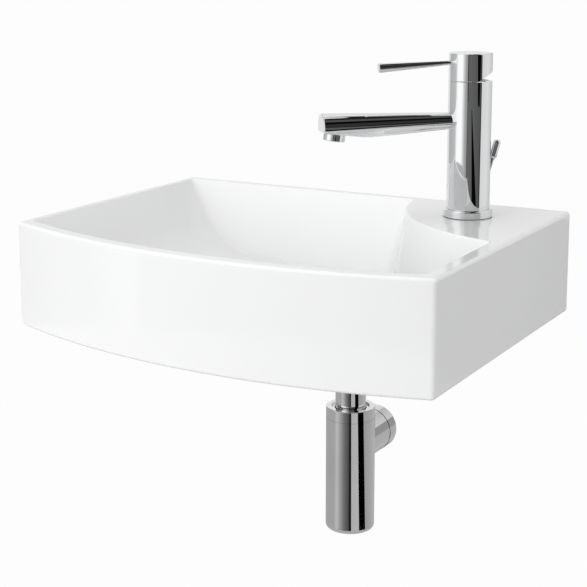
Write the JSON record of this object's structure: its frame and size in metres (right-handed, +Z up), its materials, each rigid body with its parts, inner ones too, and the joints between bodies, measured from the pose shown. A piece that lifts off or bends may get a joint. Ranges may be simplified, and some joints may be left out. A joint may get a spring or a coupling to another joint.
{
  "type": "wall hung basin",
  "caption": "Wall hung ceramic basin with a bowed front, a sloping bowl and a corner deck that carries a lever mixer tap, a pop-up waste and a bottle trap.",
  "frame": {"origin": "on the back face of the basin, midway between its two wall fixing holes, 60 mm below the rim", "axes": "+Z up, +Y into the wall, +X to the right for someone who faces the basin, so the front faces -Y"},
  "size_m": [0.48, 0.3862, 0.5052],
  "materials": {
    "glazed_white": "white glaze, glossy, slightly soft reflections",
    "polished_chrome": "mirror polished chrome plate",
    "satin_chrome": "bright chrome plate, slightly softer than the tap's",
    "brushed_steel": "turned stainless steel",
    "brass": "machined brass",
    "black_rubber": "matt moulded rubber",
    "white_plastic": "moulded acetal",
    "grey_plastic": "small moulded cover, bare",
    "technical_ceramic": "lapped ceramic"
  },
  "bodies": {
    "root": {"basin": "glazed_white", "waste_flange": "polished_chrome", "waste_flange_gasket": "black_rubber", "waste_body": "satin_chrome", "waste_body_gasket": "black_rubber", "pivot_inner_seat": "white_plastic", "pivot_outer_seat": "white_plastic", "pivot_nut": "satin_chrome", "tap_base_gasket": "black_rubber", "tap_base_ring": "polished_chrome", "tap_body": "polished_chrome", "spout": "polished_chrome", "aerator_housing": "polished_chrome", "aerator_insert": "white_plastic", "aerator_washer": "black_rubber", "cartridge_seals": "black_rubber", "cartridge_base": "white_plastic", "fixed_disc": "technical_ceramic", "cartridge_housing": "white_plastic", "cartridge_nut": "brass", "mounting_stud": "brass", "deck_washer": "black_rubber", "horseshoe_plate": "brushed_steel", "stud_nut": "brass", "trap_inlet_nut": "satin_chrome", "trap_inlet_washer": "black_rubber", "trap_inlet_tube": "satin_chrome", "trap_top_cap": "satin_chrome", "trap_tube_seal": "black_rubber", "trap_body": "satin_chrome", "trap_outlet_nut": "satin_chrome", "trap_outlet_seal": "black_rubber"},
    "swivel": {"lever_carrier": "white_plastic", "carrier_pin": "brushed_steel"},
    "lever": {"lever_spindle": "brass", "lever_cap": "polished_chrome", "lever_handle": "polished_chrome", "grub_screw": "brushed_steel", "grub_cover": "grey_plastic"},
    "disc": {"moving_disc": "technical_ceramic", "disc_driver": "white_plastic"},
    "lift": {"lift_rod": "polished_chrome", "lift_knob": "polished_chrome", "rod_clamp": "satin_chrome", "clamp_screw": "brushed_steel"},
    "pivot": {"pivot_rod": "brushed_steel"},
    "plug": {"plug": "polished_chrome", "plug_seal": "black_rubber", "plug_stem": "brushed_steel"}
  },
  "joints": [
    {"name": "lever_swivel", "type": "hinge", "parent": "root", "child": "swivel", "pos_m": [0.1534, -0.0746, 0.2028], "axis": [0, 0, 1], "range_deg": [-45, 45]},
    {"name": "lever_lift", "type": "hinge", "parent": "swivel", "child": "lever", "pos_m": [0.1534, -0.0746, 0.2028], "axis": [-0.6561, 0.7547, 0], "range_deg": [0, 24]},
    {"name": "disc_slide", "type": "slide", "parent": "swivel", "child": "disc", "axis": [-0.7547, -0.6561, 0], "range_m": [0, 0.0054]},
    {"name": "lift_rod_slide", "type": "slide", "parent": "root", "child": "lift", "axis": [0.208, 0.1808, 0.9613], "range_m": [0, 0.018]},
    {"name": "pivot_rod_turn", "type": "hinge", "parent": "root", "child": "pivot", "pos_m": [0.08427, -0.13856, -0.066], "axis": [0.5821, -0.8131, 0], "range_deg": [0, 14.8]},
    {"name": "plug_slide", "type": "slide", "parent": "root", "child": "plug", "axis": [0, 0, 1], "range_m": [-0.0081, 0]}
  ],
  "couplings": [
    {"joint": "disc_slide", "follows": "lever_lift", "m_per_rad": 0.0128},
    {"joint": "pivot_rod_turn", "follows": "lift_rod_slide", "rad_per_m": 14.2},
    {"joint": "plug_slide", "follows": "lift_rod_slide", "ratio": -0.4444}
  ]
}
